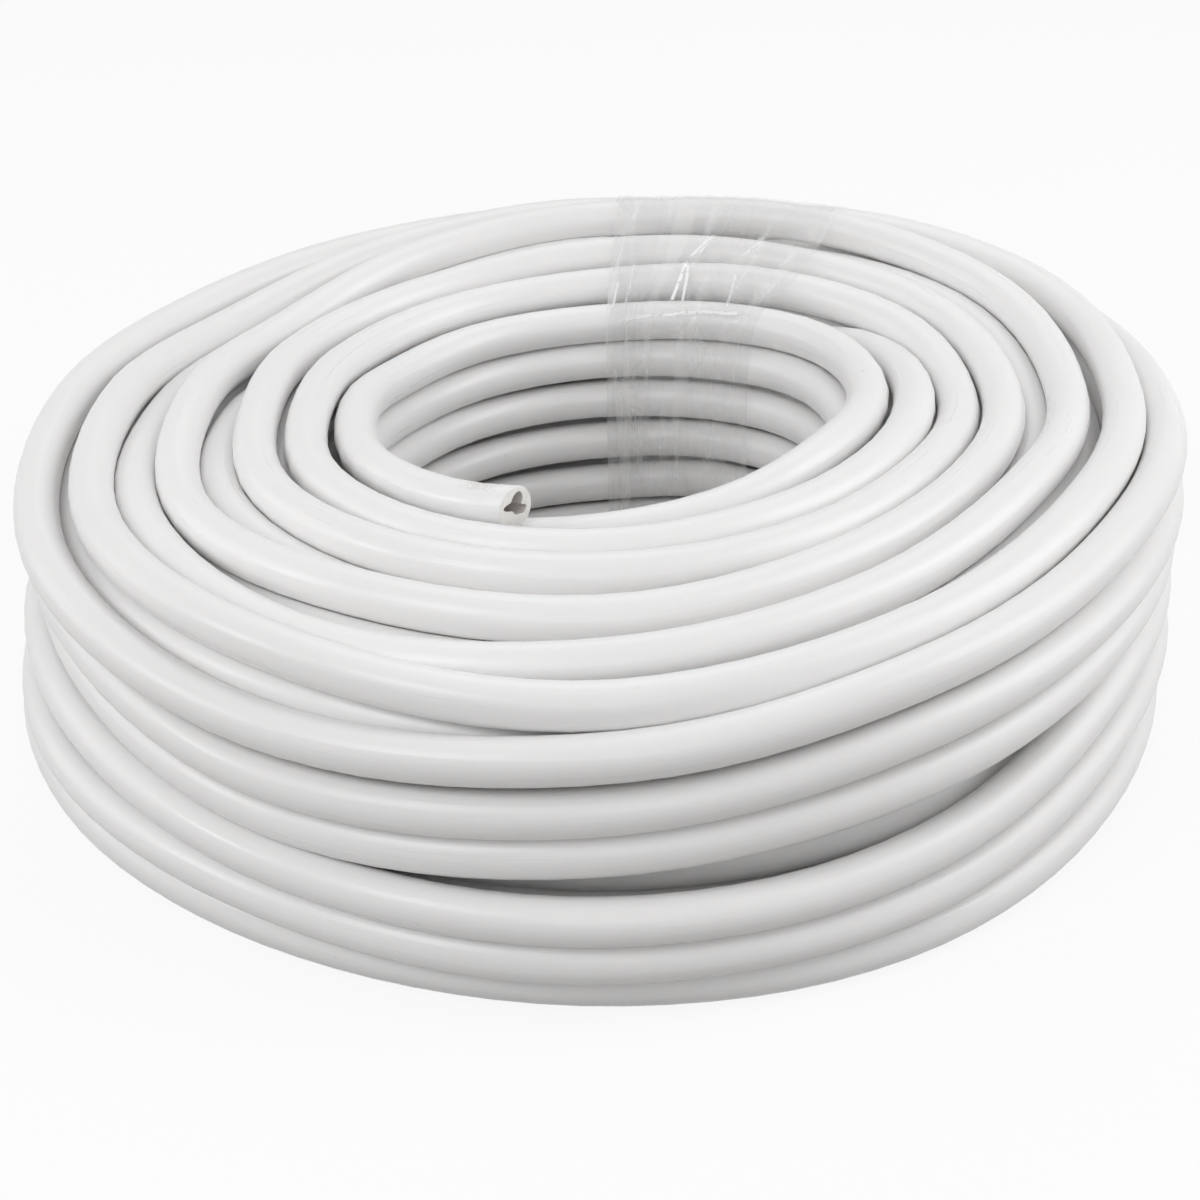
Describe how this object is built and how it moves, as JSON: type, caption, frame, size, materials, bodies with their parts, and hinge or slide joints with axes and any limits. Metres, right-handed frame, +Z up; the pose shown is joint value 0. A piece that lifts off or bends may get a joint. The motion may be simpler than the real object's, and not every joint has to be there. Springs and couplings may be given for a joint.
{
  "type": "vacuum hose coil",
  "caption": "Thick-walled white suction hose wound into a flat round coil with an open eye, one cut end free, held by a band of clear stretch film.",
  "frame": {"origin": "on the floor, under the middle of the whole coil", "axes": "+Z up along the axis of the eye; -Y towards the viewer of the picture, so the free end is at the front left of the eye and the film at the back; +X to the viewer's right"},
  "size_m": [0.4294, 0.4456, 0.1456],
  "materials": {
    "hose": "satin white flexible PVC, smooth extruded skin with a soft sheen",
    "film": "clear glossy stretch film with drawn wrinkles"
  },
  "bodies": {
    "root": {"hose_turns": "hose", "hose_free_end": "hose", "hose_buried_turns": "hose", "film_band": "film"}
  },
  "joints": []
}
